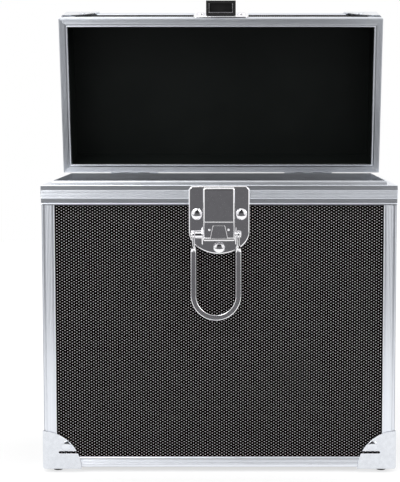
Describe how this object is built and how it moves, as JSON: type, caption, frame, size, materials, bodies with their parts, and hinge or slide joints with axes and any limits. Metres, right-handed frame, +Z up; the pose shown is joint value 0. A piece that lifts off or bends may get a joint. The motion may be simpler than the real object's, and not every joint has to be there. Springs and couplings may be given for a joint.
{
  "type": "record carrying case",
  "caption": "Hard carrying case for record sleeves with aluminium-edged black panels, a hinged lid, a bail latch and a folding handle.",
  "frame": {"origin": "middle of the base panel's underside", "axes": "+Z up, +X to the right seen from the front, front with the latch towards -Y, lid hinged at +Y"},
  "size_m": [0.3496, 0.2508, 0.4736],
  "materials": {
    "dimpled_black": "black laminate with a fine pattern of raised dots",
    "lining": "smooth black lining",
    "aluminium_trim": "satin ribbed extrusion",
    "pressed_steel": "bright plated pressing",
    "chrome": "polished chrome plate",
    "rubber": "black rubber",
    "handle_plastic": "moulded black plastic"
  },
  "bodies": {
    "case_body": {"body_front_panel": "dimpled_black", "body_back_panel": "dimpled_black", "body_left_panel": "dimpled_black", "body_right_panel": "dimpled_black", "base_panel": "dimpled_black", "body_front_left_post": "aluminium_trim", "body_front_right_post": "aluminium_trim", "body_back_left_post": "aluminium_trim", "body_back_right_post": "aluminium_trim", "base_front_edge": "aluminium_trim", "base_back_edge": "aluminium_trim", "base_left_edge": "aluminium_trim", "base_right_edge": "aluminium_trim", "body_lining": "lining", "body_rim": "aluminium_trim", "base_front_left_protector": "pressed_steel", "base_front_right_protector": "pressed_steel", "base_back_left_protector": "pressed_steel", "base_back_right_protector": "pressed_steel", "front_left_foot": "rubber", "front_right_foot": "rubber", "back_left_foot": "rubber", "back_right_foot": "rubber", "latch_plate": "chrome", "latch_left_rivet": "chrome", "latch_right_rivet": "chrome", "latch_bottom_rivet": "chrome", "latch_axle": "chrome", "left_hinge_body_leaf": "pressed_steel", "left_hinge_pin": "pressed_steel", "right_hinge_body_leaf": "pressed_steel", "right_hinge_pin": "pressed_steel"},
    "lid": {"lid_front_panel": "dimpled_black", "lid_back_panel": "dimpled_black", "lid_left_panel": "dimpled_black", "lid_right_panel": "dimpled_black", "lid_top_panel": "dimpled_black", "lid_front_left_post": "aluminium_trim", "lid_front_right_post": "aluminium_trim", "lid_back_left_post": "aluminium_trim", "lid_back_right_post": "aluminium_trim", "lid_top_front_edge": "aluminium_trim", "lid_top_back_edge": "aluminium_trim", "lid_top_left_edge": "aluminium_trim", "lid_top_right_edge": "aluminium_trim", "lid_lining": "lining", "lid_rim": "aluminium_trim", "lid_front_left_protector": "pressed_steel", "lid_front_right_protector": "pressed_steel", "lid_back_left_protector": "pressed_steel", "lid_back_right_protector": "pressed_steel", "lid_catch": "chrome", "handle_left_bracket": "chrome", "handle_right_bracket": "chrome", "left_hinge_lid_leaf": "pressed_steel", "right_hinge_lid_leaf": "pressed_steel"},
    "lever": {"latch_lever": "chrome"},
    "bail": {"bail": "chrome"},
    "handle": {"handle_grip": "handle_plastic"}
  },
  "joints": [
    {"name": "lid_hinge", "type": "hinge", "parent": "case_body", "child": "lid", "pos_m": [0, 0.0872, 0.27575], "axis": [1, 0, 0], "range_deg": [-15, 80]},
    {"name": "lever_pivot", "type": "hinge", "parent": "case_body", "child": "lever", "pos_m": [0, -0.0919, 0.2284], "axis": [1, 0, 0], "range_deg": [0, 90]},
    {"name": "bail_swing", "type": "hinge", "parent": "case_body", "child": "bail", "pos_m": [-0.003, -0.0919, 0.2284], "axis": [1, 0, 0], "range_deg": [-180, 0]},
    {"name": "handle_fold", "type": "hinge", "parent": "lid", "child": "handle", "pos_m": [0, 0.13996, 0.3736], "axis": [1, 0, 0], "range_deg": [0, 90]}
  ]
}
